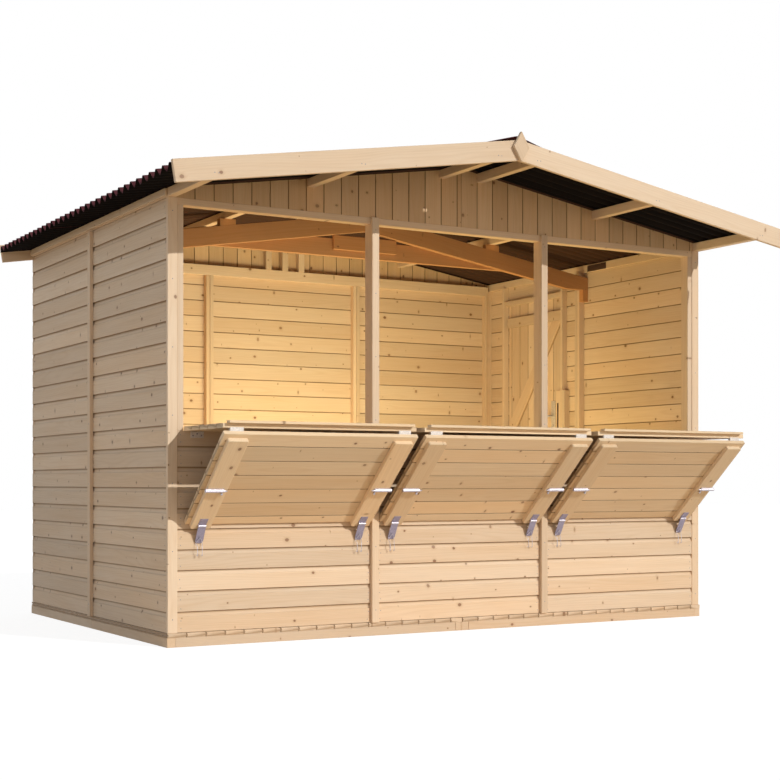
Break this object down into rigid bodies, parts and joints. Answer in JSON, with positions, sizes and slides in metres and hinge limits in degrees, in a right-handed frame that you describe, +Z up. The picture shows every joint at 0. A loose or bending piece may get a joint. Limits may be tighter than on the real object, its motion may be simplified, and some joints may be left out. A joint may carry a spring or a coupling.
{
  "type": "wooden market stall",
  "caption": "Gabled wooden market stall with boarded walls, serving bays with folded-out counters, and a side door.",
  "frame": {"origin": "centre of the base's underside, on the plane that rests on the ground", "axes": "+X to the stall's right along its long front, +Z up, the serving front faces -Y"},
  "size_m": [3.4086, 2.62, 2.3488],
  "materials": {
    "cladding": "planed spruce tongue-and-groove boards, matt",
    "planed_timber": "planed spruce, matt",
    "floor_timber": "planed spruce, matt",
    "hatch_timber": "planed spruce, matt",
    "door_timber": "planed spruce, matt",
    "roof_sheet": "dark red-brown bitumen sheet, matt",
    "ridge_cap": "dark red-brown bitumen sheet, matt",
    "galvanised_steel": "bright zinc-plated steel",
    "dark_plate": "plain dark brown plate"
  },
  "bodies": {
    "stall": {"back_wall": "cladding", "back_wall_plate": "planed_timber", "base_cross_beams": "floor_timber", "base_side_beams": "floor_timber", "corner_boards": "planed_timber", "corner_stiles": "planed_timber", "door_head_panel": "cladding", "door_hinge_plates": "galvanised_steel", "door_lock_keep": "door_timber", "door_side_panels": "cladding", "eave_cover_plate": "dark_plate", "finials": "planed_timber", "floor_boards": "floor_timber", "front_bargeboards": "planed_timber", "front_cover_battens": "planed_timber", "front_gable": "cladding", "front_header": "planed_timber", "front_header_beam": "planed_timber", "front_posts": "planed_timber", "front_sill_rails": "planed_timber", "front_wall": "cladding", "gable_studs": "planed_timber", "hatch_bolts": "galvanised_steel", "hatch_edge_strips": "hatch_timber", "hatch_hinges": "galvanised_steel", "hatch_levers": "galvanised_steel", "hatch_prop_battens": "hatch_timber", "hatch_prop_leaves": "hatch_timber", "hatch_shelves": "hatch_timber", "left_roof_sheet": "roof_sheet", "left_wall": "cladding", "purlins": "planed_timber", "rear_bargeboards": "planed_timber", "rear_gable": "cladding", "ridge_cap": "ridge_cap", "right_roof_sheet": "roof_sheet", "right_wall_front": "cladding", "side_cover_battens": "planed_timber", "truss_blocks": "planed_timber", "truss_plate": "planed_timber", "truss_rafters": "planed_timber", "truss_tie": "planed_timber", "wall_studs": "planed_timber"},
    "door": {"door_leaf": "door_timber", "door_ledges": "door_timber", "door_brace": "door_timber", "door_hinge_straps": "galvanised_steel", "door_lock_case": "galvanised_steel", "door_lock_block": "door_timber"}
  },
  "joints": [
    {"name": "door_swing", "type": "hinge", "parent": "stall", "child": "door", "pos_m": [1.534, 0.786, 0.95], "axis": [0, 0, 1], "range_deg": [0, 110]}
  ]
}
